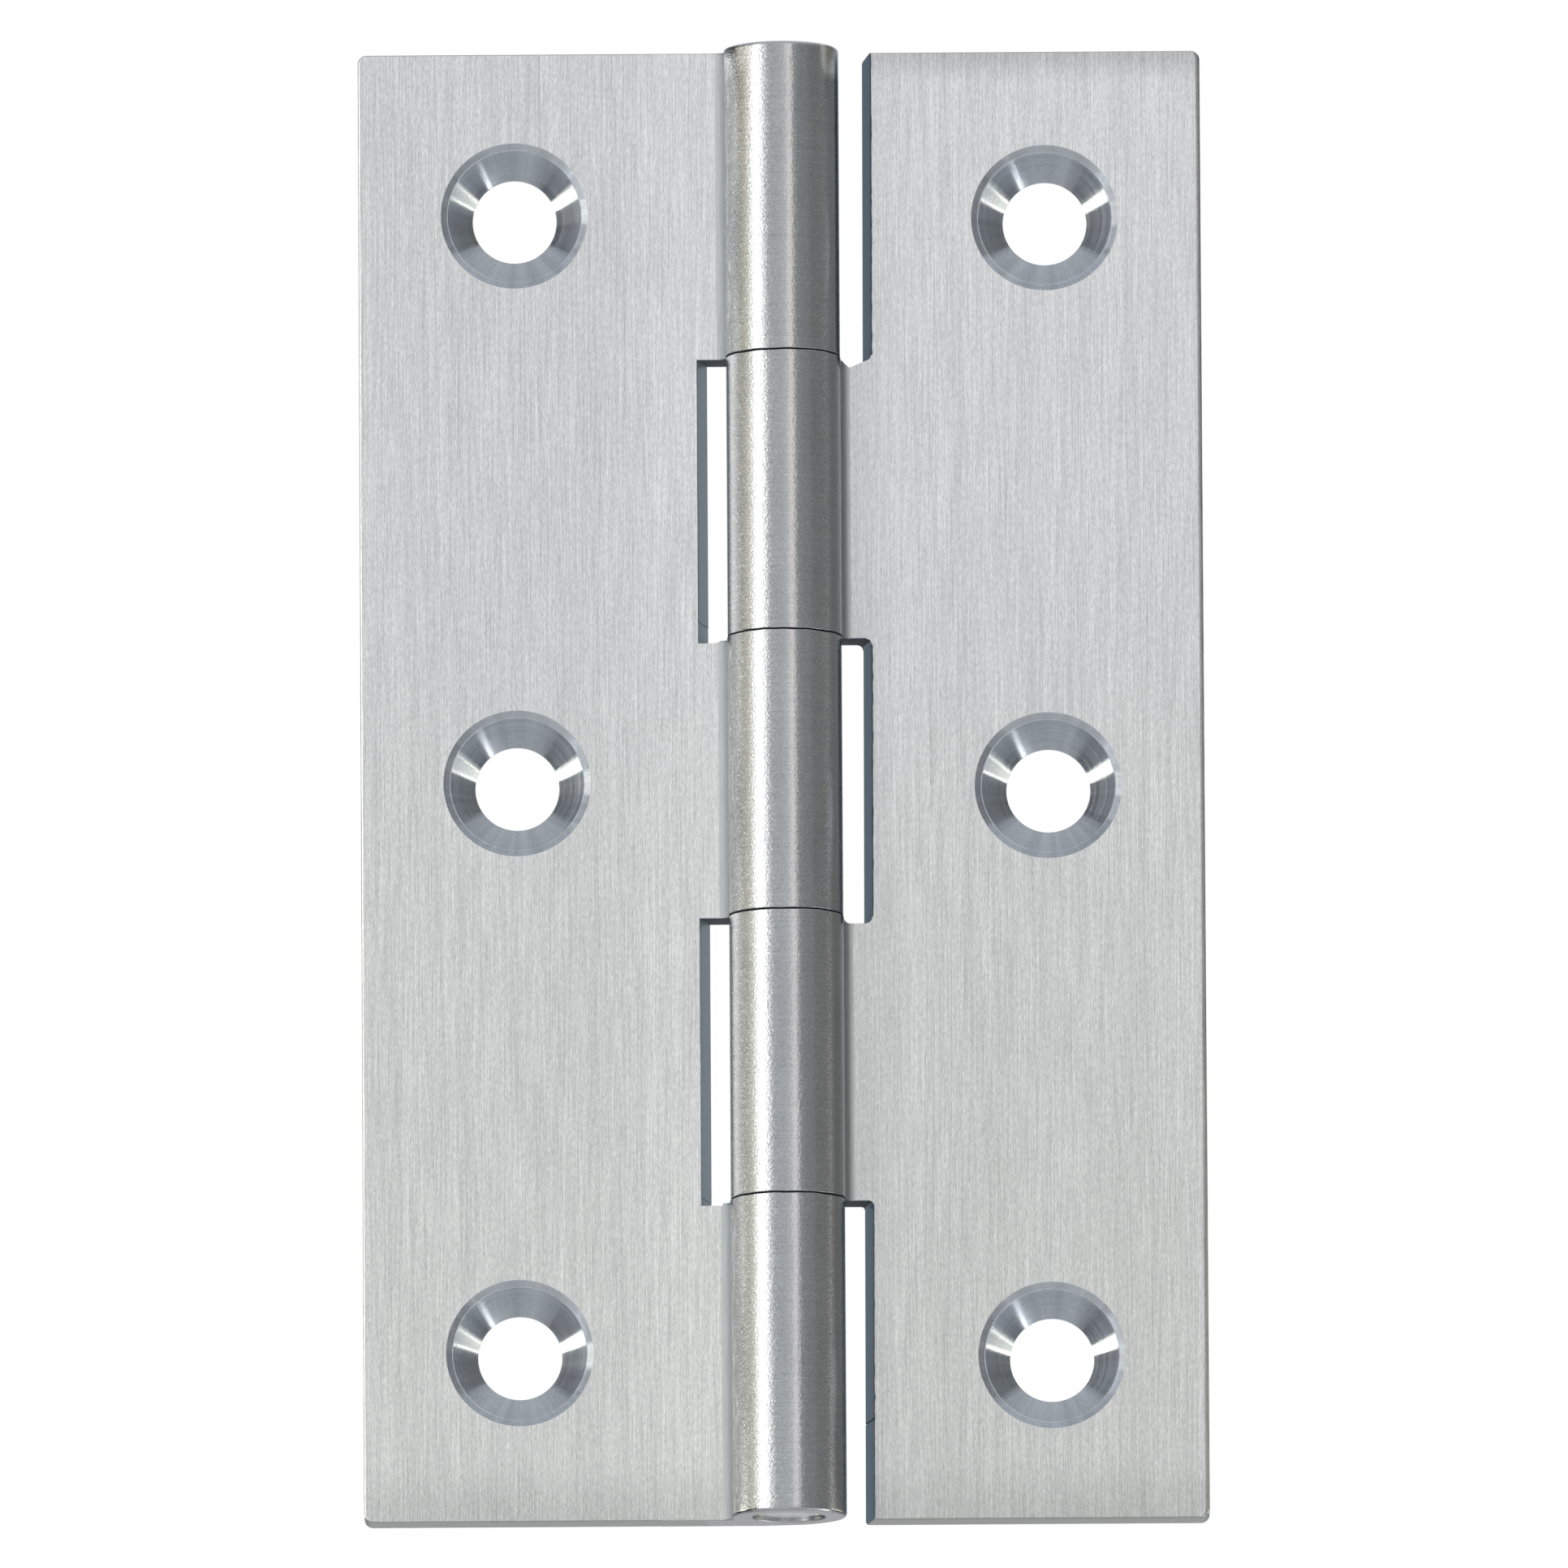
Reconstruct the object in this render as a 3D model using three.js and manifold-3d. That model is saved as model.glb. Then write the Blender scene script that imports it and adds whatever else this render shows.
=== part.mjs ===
// A 76 mm butt hinge: two flat leaves whose knuckles interleave on one pin.
//
// Millimetres, +Z up along the pin, origin on the pin's axis at mid-length.
// +X runs to the free edge of the two-knuckle leaf, and -X to that of the three-knuckle leaf.
// -Y is the side the screws enter from, and the leaves' backs face +Y.
// The hinge lies open flat, so both backs are in one plane.

import * as THREE from "three";
import { mergeVertices } from "three/addons/utils/BufferGeometryUtils.js";
import Module from "manifold-3d";

// Barrel: five knuckles end to end, counted from the top.
const HINGE_LENGTH = 76;
const BARREL_RADIUS = 2.95;
const KNUCKLE_JOINTS = [22, 7.5, -6.95, -21.6];
const END_PLAY = 0.1;

// Pin and the bore it runs in.
const BORE_RADIUS = 1.85;
const PIN_RADIUS = 1.8;
const PIN_RECESS = 0.15;
const PIN_CHAMFER = 0.2;

// Leaves: how far each face lies behind the pin's axis, and how the leaf meets the barrel.
const LEAF_FRONT = 1;
const LEAF_BACK = 3.2;
const LEAF_CORNER = 0.45;
const FRONT_FILLET = 0.3;
const BACK_FACE_STOP = 1.3;

// Countersunk screw holes, three to a leaf in one row.
const HOLE_RADIUS = 2.15;
const HEAD_RADIUS = 3.75;
const RIM_WIDTH = 0.33;
const RIM_DEPTH = 0.25;
const COUNTERSINK_DEPTH = 2;
const HOLE_PITCH = 29.45;
const HOLE_TO_EDGE = 8;

// Faces to a full turn, and to a quarter turn of a small corner.
const BARREL_FACES = 48;
const HOLE_FACES = 40;
const CORNER_FACES = 4;

// How far a cutter runs past the face it opens, and past the barrel.
const CUT_OVERRUN = 1;
const CUTTER_REACH = 6;

// Each leaf's slots clear the other leaf's knuckles. A slot's wall leans, nearer the pin at the back.
const THREE_KNUCKLE_LEAF = {
  name: "three_knuckle_leaf",
  side: -1,
  firstKnuckle: 0,
  reach: 21.7,
  slotWallFront: 4.36,
  slotWallBack: 3.85,
  slotCorner: 0.15,
  holeRowRise: 0.15,
  colour: 0xc6c9cb,
};
const TWO_KNUCKLE_LEAF = {
  name: "two_knuckle_leaf",
  side: 1,
  firstKnuckle: 1,
  reach: 21.5,
  slotWallFront: 4.52,
  slotWallBack: 3.95,
  slotCorner: 0.4,
  holeRowRise: -0.11,
  colour: 0xc9cbcd,
};

const TOP = HINGE_LENGTH / 2;
const KNUCKLE_EDGES = [TOP, ...KNUCKLE_JOINTS, -TOP];
const LAST_KNUCKLE = KNUCKLE_JOINTS.length;
const QUARTER_TURN = Math.PI / 2;

const wasm = await Module();
wasm.setup();

// A closed geometry as a solid that can be cut and joined.
function solidOf(geometry) {
  const bare = geometry.clone();
  bare.deleteAttribute("normal");
  bare.deleteAttribute("uv");
  const merged = mergeVertices(bare);
  return new wasm.Manifold(
    new wasm.Mesh({
      numProp: 3,
      vertProperties: merged.attributes.position.array,
      triVerts: new Uint32Array(merged.index.array),
    }),
  );
}

// A solid as a flat-shaded geometry.
function geometryOf(solid) {
  const mesh = solid.getMesh();
  const indexed = new THREE.BufferGeometry();
  indexed.setAttribute("position", new THREE.BufferAttribute(mesh.vertProperties, 3));
  indexed.setIndex(new THREE.BufferAttribute(mesh.triVerts, 1));
  const flat = indexed.toNonIndexed();
  flat.computeVertexNormals();
  return flat;
}

// Points along an arc, both ends included.
function arcPoints(centreX, centreY, radius, from, to, steps) {
  const points = [];
  for (let step = 0; step <= steps; step += 1) {
    const angle = from + ((to - from) * step) / steps;
    const x = centreX + radius * Math.cos(angle);
    const y = centreY + radius * Math.sin(angle);
    points.push(new THREE.Vector2(x, y));
  }
  return points;
}

// The same outline on the leaf's own side of the pin.
function onSide(leaf, points) {
  return new THREE.Shape(points.map((point) => new THREE.Vector2(leaf.side * point.x, point.y)));
}

// Section across the pin: the round knuckle, the fillet in front, and the leaf out to its free edge.
function knuckleSection(leaf) {
  const filletX = Math.sqrt((BARREL_RADIUS + FRONT_FILLET) ** 2 - (LEAF_FRONT - FRONT_FILLET) ** 2);
  const filletAngle = Math.atan2(LEAF_FRONT - FRONT_FILLET, filletX);
  const stopDistance = Math.hypot(BACK_FACE_STOP, LEAF_BACK);
  const stopAngle = Math.atan2(LEAF_BACK, BACK_FACE_STOP);
  const backTangent = stopAngle + Math.acos(BARREL_RADIUS / stopDistance);
  const frontTangent = 2 * Math.PI + filletAngle;
  const steps = Math.round((BARREL_FACES * (frontTangent - backTangent)) / (2 * Math.PI));
  return onSide(leaf, [
    new THREE.Vector2(leaf.reach, LEAF_FRONT),
    new THREE.Vector2(leaf.reach, LEAF_BACK),
    new THREE.Vector2(BACK_FACE_STOP, LEAF_BACK),
    ...arcPoints(0, 0, BARREL_RADIUS, backTangent, frontTangent, steps),
    ...arcPoints(
      filletX,
      LEAF_FRONT - FRONT_FILLET,
      FRONT_FILLET,
      filletAngle + Math.PI,
      QUARTER_TURN,
      CORNER_FACES,
    ).slice(1),
  ]);
}

// The section drawn out along the whole pin.
function leafBlank(leaf) {
  const options = { depth: HINGE_LENGTH, bevelEnabled: false };
  return new THREE.ExtrudeGeometry(knuckleSection(leaf), options).translate(0, 0, -TOP);
}

// Stands a plan drawn in X and Z up through the leaf, from in front of the barrel to behind it.
function throughLeaf(plan) {
  const depth = 2 * (LEAF_BACK + CUT_OVERRUN);
  const geometry = new THREE.ExtrudeGeometry(plan, { depth, bevelEnabled: false });
  return geometry.rotateX(QUARTER_TURN).translate(0, depth / 2, 0);
}

// What remains of the blank once the free edge's two corners are rounded.
function cornerTrim(leaf) {
  const cornerX = leaf.reach - LEAF_CORNER;
  const cornerZ = TOP - LEAF_CORNER;
  const plan = onSide(leaf, [
    new THREE.Vector2(-CUTTER_REACH, -TOP),
    ...arcPoints(cornerX, -cornerZ, LEAF_CORNER, -QUARTER_TURN, 0, CORNER_FACES),
    ...arcPoints(cornerX, cornerZ, LEAF_CORNER, 0, QUARTER_TURN, CORNER_FACES),
    new THREE.Vector2(-CUTTER_REACH, TOP),
  ]);
  return throughLeaf(plan);
}

// Clears the space of one knuckle of the other leaf, back to this leaf's leaning slot wall.
function slotCutter(leaf, knuckle) {
  const upper = KNUCKLE_EDGES[knuckle] + (knuckle === 0 ? CUT_OVERRUN : END_PLAY / 2);
  const lower = KNUCKLE_EDGES[knuckle + 1] - (knuckle === LAST_KNUCKLE ? CUT_OVERRUN : END_PLAY / 2);
  const cornerX = leaf.slotWallFront - leaf.slotCorner;
  const plan = onSide(leaf, [
    new THREE.Vector2(-CUTTER_REACH, lower),
    ...arcPoints(cornerX, lower + leaf.slotCorner, leaf.slotCorner, -QUARTER_TURN, 0, CORNER_FACES),
    ...arcPoints(cornerX, upper - leaf.slotCorner, leaf.slotCorner, 0, QUARTER_TURN, CORNER_FACES),
    new THREE.Vector2(-CUTTER_REACH, upper),
  ]);
  const lean = (leaf.side * (leaf.slotWallBack - leaf.slotWallFront)) / (LEAF_BACK - LEAF_FRONT);
  const shear = new THREE.Matrix4().makeShear(0, 0, lean, 0, 0, 0);
  return throughLeaf(plan)
    .translate(0, -LEAF_FRONT, 0)
    .applyMatrix4(shear)
    .translate(0, LEAF_FRONT, 0);
}

// A screw hole: shallow outer rim, cone for the screw's head, and the straight hole behind it.
function screwHoleCutter(leaf, z) {
  const profile = [
    new THREE.Vector2(0, LEAF_FRONT - CUT_OVERRUN),
    new THREE.Vector2(HEAD_RADIUS, LEAF_FRONT - CUT_OVERRUN),
    new THREE.Vector2(HEAD_RADIUS, LEAF_FRONT),
    new THREE.Vector2(HEAD_RADIUS - RIM_WIDTH, LEAF_FRONT + RIM_DEPTH),
    new THREE.Vector2(HOLE_RADIUS, LEAF_FRONT + COUNTERSINK_DEPTH),
    new THREE.Vector2(HOLE_RADIUS, LEAF_BACK + CUT_OVERRUN),
    new THREE.Vector2(0, LEAF_BACK + CUT_OVERRUN),
  ];
  const holeX = leaf.side * (leaf.reach - HOLE_TO_EDGE);
  return new THREE.LatheGeometry(profile, HOLE_FACES).translate(holeX, 0, z);
}

function boreCutter() {
  const length = HINGE_LENGTH + 2 * CUT_OVERRUN;
  const cylinder = new THREE.CylinderGeometry(BORE_RADIUS, BORE_RADIUS, length, BARREL_FACES);
  return cylinder.rotateX(QUARTER_TURN);
}

function leafMesh(leaf) {
  let solid = solidOf(leafBlank(leaf)).intersect(solidOf(cornerTrim(leaf)));
  for (let knuckle = 0; knuckle <= LAST_KNUCKLE; knuckle += 1) {
    if (knuckle % 2 !== leaf.firstKnuckle) {
      solid = solid.subtract(solidOf(slotCutter(leaf, knuckle)));
    }
  }
  for (const row of [1, 0, -1]) {
    solid = solid.subtract(solidOf(screwHoleCutter(leaf, leaf.holeRowRise + row * HOLE_PITCH)));
  }
  solid = solid.subtract(solidOf(boreCutter()));
  const satinSteel = new THREE.MeshStandardMaterial({
    color: leaf.colour,
    roughness: 0.38,
    metalness: 1,
    flatShading: true,
  });
  const mesh = new THREE.Mesh(geometryOf(solid), satinSteel);
  mesh.name = leaf.name;
  return mesh;
}

// The pin: a plain rod, chamfered at both ends, which stop just inside the barrel.
function pinMesh() {
  const end = TOP - PIN_RECESS;
  const profile = [
    new THREE.Vector2(0, -end),
    new THREE.Vector2(PIN_RADIUS - PIN_CHAMFER, -end),
    new THREE.Vector2(PIN_RADIUS, PIN_CHAMFER - end),
    new THREE.Vector2(PIN_RADIUS, end - PIN_CHAMFER),
    new THREE.Vector2(PIN_RADIUS - PIN_CHAMFER, end),
    new THREE.Vector2(0, end),
  ];
  const groundSteel = new THREE.MeshStandardMaterial({
    color: 0xa9a6b0,
    roughness: 0.3,
    metalness: 1,
    flatShading: true,
  });
  const geometry = new THREE.LatheGeometry(profile, BARREL_FACES).rotateX(QUARTER_TURN);
  const mesh = new THREE.Mesh(geometry, groundSteel);
  mesh.name = "hinge_pin";
  return mesh;
}

// The pin is fast in the three-knuckle leaf, and the two-knuckle leaf turns on it.
const frameSide = new THREE.Group();
frameSide.add(leafMesh(THREE_KNUCKLE_LEAF));
frameSide.add(pinMesh());

const hinge = new THREE.Group();
hinge.add(frameSide);
hinge.add(leafMesh(TWO_KNUCKLE_LEAF));

export default hinge;
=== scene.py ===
"""A 76 mm butt hinge in brushed steel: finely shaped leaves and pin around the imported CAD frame."""

import math
from dataclasses import dataclass

import bmesh
import bpy
from mathutils import Matrix, Vector, noise


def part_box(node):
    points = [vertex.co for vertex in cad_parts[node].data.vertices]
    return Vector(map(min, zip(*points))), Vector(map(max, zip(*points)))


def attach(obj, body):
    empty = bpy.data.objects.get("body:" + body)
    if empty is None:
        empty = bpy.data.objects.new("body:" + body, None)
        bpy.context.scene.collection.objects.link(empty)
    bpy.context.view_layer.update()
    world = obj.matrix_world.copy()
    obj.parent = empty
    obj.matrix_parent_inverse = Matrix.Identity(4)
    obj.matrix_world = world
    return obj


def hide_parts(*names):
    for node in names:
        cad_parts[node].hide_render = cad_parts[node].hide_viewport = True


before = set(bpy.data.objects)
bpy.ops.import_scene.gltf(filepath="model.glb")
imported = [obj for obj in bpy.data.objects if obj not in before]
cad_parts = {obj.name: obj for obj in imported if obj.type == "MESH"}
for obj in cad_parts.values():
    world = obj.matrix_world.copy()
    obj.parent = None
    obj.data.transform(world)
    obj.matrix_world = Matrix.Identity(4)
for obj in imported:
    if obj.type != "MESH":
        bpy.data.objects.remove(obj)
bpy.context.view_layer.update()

# ---------------------------------------------------------------- sizes, in millimetres
MM = 0.001  # one millimetre in Blender's metres


def box_mm(node):
    """A CAD node's lowest and highest corners in millimetres."""
    low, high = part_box(node)
    return [value / MM for value in low], [value / MM for value in high]


three_low, three_high = box_mm("three_knuckle_leaf")
two_high = box_mm("two_knuckle_leaf")[1]
pin_high = box_mm("hinge_pin")[1]

BARREL_MARGIN = 0.01  # the faceted CAD barrel reaches a little less far forwards than sideways
TOP = three_high[2]
BARREL_RADIUS = three_high[0] - BARREL_MARGIN
LEAF_BACK = three_high[1]
PIN_RADIUS = pin_high[0]
PIN_END = pin_high[2]

KNUCKLE_JOINTS = (22.0, 7.5, -6.95, -21.6)
KNUCKLE_EDGES = (TOP, *KNUCKLE_JOINTS, -TOP)
END_PLAY = 0.07  # the gap between two knuckles
BORE_RADIUS = 1.85
LEAF_FRONT = 1.0  # the screw side's depth behind the pin's axis
LEAF_CORNER = 0.45
FRONT_FILLET = 0.5
BACK_FACE_STOP = 1.3  # where the flat back starts to run round the barrel

HOLE_RADIUS = 2.15
HEAD_RADIUS = 3.75
RIM_WIDTH = 0.33
RIM_DEPTH = 0.25
RIM_LAND = 0.04
COUNTERSINK_DEPTH = 2.0
HOLE_PITCH = 29.45
HOLE_TO_EDGE = 8.0
HOLE_X = (two_high[0] - three_low[0]) / 2 - HOLE_TO_EDGE

CUT_OVERRUN = 1.0  # how far a cutter runs past what it cuts
TAB_REACH = 6.5  # how far a knuckle's tab reaches into the plate
SMALLEST_CORNER = 0.01

# The punch's marks where a tab's end meets the slot: rounded corners, and dips into the tab's end.
# V_ is the +X leaf's upper dip, U_ its lower one and RAMP_ the -X leaf's. A START or FLOOR is a distance
# from the pin's axis.
WEB_ROOT = 0.25
WEB_RADIUS = 0.3
LOW_WEB_RADIUS = 0.15
V_DIP = 0.36
V_START = 2.6
V_FLOOR = 3.36
V_MOUTH = 0.25
V_RISE = 0.01
V_LIP = 0.2
U_DIP = 0.22
U_START = 2.93
U_RADIUS = 0.36
RAMP_DIP = 0.12
RAMP_START = 3.05
RAMP_RADIUS = 0.55
LOW_RAMP_START = 3.2
LOW_RAMP_FLOOR = 3.3
LOW_RAMP_MOUTH = 0.3
NICK_HEIGHT = -32.8
NICK_DEPTH = 0.09

# Punched and sawn edges wander a little: how far, and over what length.
RAGGED_LENGTH = 0.45
RAGGED_STEP = 0.3
RAGGED_CLEARANCE = 1.5  # how many times the raggedness a cut runs past the wall
JOINT_WOBBLE = 0.035
WOBBLE_LENGTH = 0.8

# How far each kind of edge is rounded or broken.
ROUND_BARREL_TOP = 0.22
ROUND_BARREL_BOTTOM = 0.2
ROUND_KNUCKLE = 0.045
ROUND_SLOT = 0.05
ROUND_LEAF_END = 0.08
ROUND_BACK = 0.12
RIM_BREAK = 0.04
HOLE_BREAK = 0.06
BORE_BREAK = 0.06
SHARP_ANGLE = math.radians(30)
MITER_LIMIT = 0.5

BARREL_STEPS = 180
HOLE_STEPS = 128
CORNER_STEPS = 8
ROUND_STEPS = 4
ROUND_BLEND_STEPS = 24  # over how many points of the barrel its own rounding and wobble come in
QUARTER = math.pi / 2
LAST_KNUCKLE = len(KNUCKLE_JOINTS)


@dataclass
class Leaf:
    """One leaf's own dimensions. Widths are measured from the pin's axis outwards."""

    name: str
    side: int  # -1 for the leaf on the -X side of the pin
    reach: float  # the free edge
    first_knuckle: int  # the leaf's uppermost knuckle, counted from the barrel's top
    wall_front: float  # the slots' wall at the face
    wall_back: float  # the same wall at the back, where it stands closer to the pin
    wall_tilt: float  # how much further out the wall stands per millimetre of height
    raggedness: float  # how far the wall's front edge wanders
    knuckle_shift: float  # how far the knuckles stand off the pin's axis, towards the leaf
    edge_round: float  # how far the face's free edge is rounded
    inner_top: float  # the radius of the wall's upper corner at the back
    inner_bottom: float  # the same for its lower corner
    row_rise: float  # the middle screw hole's height

    @property
    def lean(self):
        return (self.wall_back - self.wall_front) / (LEAF_BACK - LEAF_FRONT)

    @property
    def hole_x(self):
        return self.side * (self.reach - HOLE_TO_EDGE)

    @property
    def hole_heights(self):
        return [self.row_rise + row * HOLE_PITCH for row in (1, 0, -1)]


THREE_LEAF = Leaf(
    name="three_knuckle_leaf",
    side=-1,
    reach=-three_low[0],
    first_knuckle=0,
    wall_front=4.36,
    wall_back=3.85,
    wall_tilt=0.0,
    raggedness=0.02,
    knuckle_shift=-0.03,
    edge_round=0.12,
    inner_top=0.0,
    inner_bottom=0.0,
    row_rise=0.15,
)
TWO_LEAF = Leaf(
    name="two_knuckle_leaf",
    side=1,
    reach=two_high[0],
    first_knuckle=1,
    wall_front=4.48,
    wall_back=4.03,
    wall_tilt=0.0033,
    raggedness=0.06,
    knuckle_shift=0.06,
    edge_round=0.28,
    inner_top=0.3,
    inner_bottom=0.2,
    row_rise=-0.11,
)


# ---------------------------------------------------------------- mesh building, in millimetres
def arc(centre_u, centre_v, radius, start, end, steps):
    """Points along an arc, both ends included."""
    points = []
    for step in range(steps + 1):
        angle = start + (end - start) * step / steps
        points.append((centre_u + radius * math.cos(angle), centre_v + radius * math.sin(angle)))
    return points


def mesh_from(bm, name):
    """The finished bmesh as a mesh."""
    mesh = bpy.data.meshes.new(name)
    bm.to_mesh(mesh)
    bm.free()
    return mesh


def in_scene(name, mesh):
    """The mesh as an object in the scene."""
    obj = bpy.data.objects.new(name, mesh)
    bpy.context.scene.collection.objects.link(obj)
    return obj


def mesh_object(bm, name):
    """The finished bmesh as an object in the scene, its faces turned outwards."""
    bmesh.ops.recalc_face_normals(bm, faces=bm.faces)
    return in_scene(name, mesh_from(bm, name))


def add_loft(bm, rings):
    """Adds a closed solid through rings of equally many points. A ring of one point closes to a tip."""
    loops = [[bm.verts.new(point) for point in ring] for ring in rings]
    count = max(len(loop) for loop in loops)
    for end in (loops[0], loops[-1]):
        if len(end) > 1:
            bm.faces.new(end)
    for first, second in zip(loops, loops[1:]):
        for here in range(count):
            after = (here + 1) % count
            corners = [first[here % len(first)], second[here % len(second)]]
            if len(second) > 1:
                corners.append(second[after])
            if len(first) > 1:
                corners.append(first[after])
            bm.faces.new(corners)


def add_lathe(bm, profile, steps, place):
    """Adds a closed turned solid. The profile is (radius, height) from axis to axis."""
    rings = []
    for radius, height in profile:
        circle = arc(0, 0, radius, 0, 2 * math.pi, steps)[:-1] if radius else [(0, 0)]
        rings.append([place(u, v, height) for u, v in circle])
    add_loft(bm, rings)


def inset_outline(outline, distances):
    """A counter-clockwise outline moved inwards by a small distance at each of its points."""
    moved = []
    count = len(outline)
    for here, (point, distance) in enumerate(zip(outline, distances)):
        before = Vector(point) - Vector(outline[here - 1])
        after = Vector(outline[(here + 1) % count]) - Vector(point)
        inward = Vector((-before.y, before.x)).normalized() + Vector((-after.y, after.x)).normalized()
        inward.normalize()
        miter = max(MITER_LIMIT, inward.dot(Vector((-after.y, after.x)).normalized()))
        moved.append(tuple(Vector(point) + inward * (distance / miter)))
    return moved


def add_rounded_prism(bm, outline, ends):
    """Adds a prism along the pin between its lower and upper end.

    Each end is its height at every outline point, and the radius that its edge is rounded by there.
    """
    steps = [QUARTER * step / ROUND_STEPS for step in range(ROUND_STEPS + 1)]
    rings = []
    for (levels, rounds), way, angles in zip(ends, (1, -1), (steps, steps[::-1])):
        for angle in angles:
            inset = inset_outline(outline, [radius * (1 - math.sin(angle)) for radius in rounds])
            lifts = [way * radius * (1 - math.cos(angle)) for radius in rounds]
            rings.append([(u, v, level + lift) for (u, v), level, lift in zip(inset, levels, lifts)])
    add_loft(bm, rings)


def along_pin(u, v, w):
    """Places a turned solid's points around the pin's axis."""
    return (u, v, w)


def baked(obj, name):
    """A mesh with obj's modifiers worked in; obj itself is deleted."""
    graph = bpy.context.evaluated_depsgraph_get()
    mesh = bpy.data.meshes.new_from_object(obj.evaluated_get(graph))
    mesh.name = name
    bpy.data.objects.remove(obj)
    return mesh


def combine(obj, other, operation):
    """Joins or cuts obj by other, which is used up."""
    modifier = obj.modifiers.new("combine", "BOOLEAN")
    modifier.operation = operation
    modifier.solver = "EXACT"
    modifier.object = other
    name = obj.name
    mesh = baked(obj, name)
    bpy.data.objects.remove(other)
    return in_scene(name, mesh)


def shade_smooth(mesh):
    for polygon in mesh.polygons:
        polygon.use_smooth = True


# ---------------------------------------------------------------- the leaf
def knuckle_section(leaf):
    """Outline across the pin: round knuckle, fillet in front, and a tab that reaches into the leaf.

    Each entry is a point and how far it belongs to the round barrel, from 0 to 1.
    """
    shift = leaf.knuckle_shift
    fillet_y = LEAF_FRONT - FRONT_FILLET
    fillet_x = shift + math.sqrt((BARREL_RADIUS + FRONT_FILLET) ** 2 - fillet_y**2)
    fillet_angle = math.atan2(fillet_y, fillet_x - shift)
    stop_distance = math.hypot(BACK_FACE_STOP - shift, LEAF_BACK)
    back_tangent = math.atan2(LEAF_BACK, BACK_FACE_STOP - shift) + math.acos(BARREL_RADIUS / stop_distance)
    front_tangent = 2 * math.pi + fillet_angle
    section = [((TAB_REACH, LEAF_FRONT), 0), ((TAB_REACH, LEAF_BACK), 0), ((BACK_FACE_STOP, LEAF_BACK), 0)]
    for step, point in enumerate(arc(shift, 0, BARREL_RADIUS, back_tangent, front_tangent, BARREL_STEPS)):
        to_front = (BARREL_STEPS - step) / ROUND_BLEND_STEPS
        section.append((point, min(1, step / ROUND_BLEND_STEPS, to_front)))
    for point in arc(fillet_x, fillet_y, FRONT_FILLET, fillet_angle + math.pi, QUARTER, CORNER_STEPS)[1:]:
        section.append((point, 0))
    if leaf.side < 0:
        section = [((-u, v), share) for (u, v), share in reversed(section)]
    return section


def knuckle_ends(knuckle):
    """A knuckle's lower and upper end, counted from the top."""
    upper = KNUCKLE_EDGES[knuckle] - (END_PLAY / 2 if knuckle > 0 else 0)
    lower = KNUCKLE_EDGES[knuckle + 1] + (END_PLAY / 2 if knuckle < LAST_KNUCKLE else 0)
    return lower, upper


def knuckle_end(section, height, outer_round=None):
    """One end of a knuckle: its level and its edge's rounding at each point of the section.

    The barrel's outer ends are flat and well rounded. The joints between knuckles wander a little.
    """
    if outer_round is None:
        levels = [
            height + share * JOINT_WOBBLE * noise.noise(Vector((*point, height)) / WOBBLE_LENGTH)
            for point, share in section
        ]
        return levels, [ROUND_KNUCKLE] * len(section)
    rounds = [ROUND_LEAF_END + share * (outer_round - ROUND_LEAF_END) for _, share in section]
    return [height] * len(section), rounds


def own_knuckles(leaf):
    """The numbers of a leaf's knuckles, counted from the top."""
    return [knuckle for knuckle in range(LAST_KNUCKLE + 1) if knuckle % 2 == leaf.first_knuckle]


def knuckles(leaf):
    """All of a leaf's knuckles, with the tabs that reach into the plate."""
    section = knuckle_section(leaf)
    bm = bmesh.new()
    for knuckle in own_knuckles(leaf):
        lower, upper = knuckle_ends(knuckle)
        foot = knuckle_end(section, lower, ROUND_BARREL_BOTTOM if knuckle == LAST_KNUCKLE else None)
        head = knuckle_end(section, upper, ROUND_BARREL_TOP if knuckle == 0 else None)
        add_rounded_prism(bm, [point for point, _ in section], (foot, head))
    return mesh_object(bm, "knuckles")


def plate_ring(leaf, share, depth):
    """The leaf's plan at one depth, drawn in by a share of each edge's rounding.

    The slot wall's own corners are square at the face and rounder towards the back.
    """
    wall = leaf.wall_front + leaf.lean * (depth - LEAF_FRONT)
    through = (depth - LEAF_FRONT) / (LEAF_BACK - LEAF_FRONT)
    near = ROUND_SLOT * share
    far = leaf.edge_round * share
    end = ROUND_LEAF_END * share
    plan = []
    for corner_x, corner_z, radius, inset, start in (
        (wall - leaf.wall_tilt * TOP, -TOP, leaf.inner_bottom * through, near, math.pi),
        (leaf.reach, -TOP, LEAF_CORNER, far, -QUARTER),
        (leaf.reach, TOP, LEAF_CORNER, far, 0),
        (wall + leaf.wall_tilt * TOP, TOP, leaf.inner_top * through, near, QUARTER),
    ):
        radius = max(radius, SMALLEST_CORNER + max(inset, end))
        centre_x = corner_x - radius if corner_x == leaf.reach else corner_x + radius
        centre_z = corner_z - math.copysign(radius, corner_z)
        for u, v in arc(0, 0, 1, start, start + QUARTER, CORNER_STEPS):
            plan.append((centre_x + (radius - inset) * u, centre_z + (radius - end) * v))
    reach = TOP - max(leaf.inner_top, leaf.inner_bottom, RAGGED_STEP)
    count = round(2 * reach / RAGGED_STEP)
    rag = leaf.raggedness * (1 - through)
    for step in range(count + 1):
        height = reach - 2 * reach * step / count
        wander = max(0, noise.noise(Vector((leaf.side, depth, height)) / RAGGED_LENGTH))
        plan.append((wall + leaf.wall_tilt * height + near + rag * wander, height))
    return [(leaf.side * x, depth, z) for x, z in plan]


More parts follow.
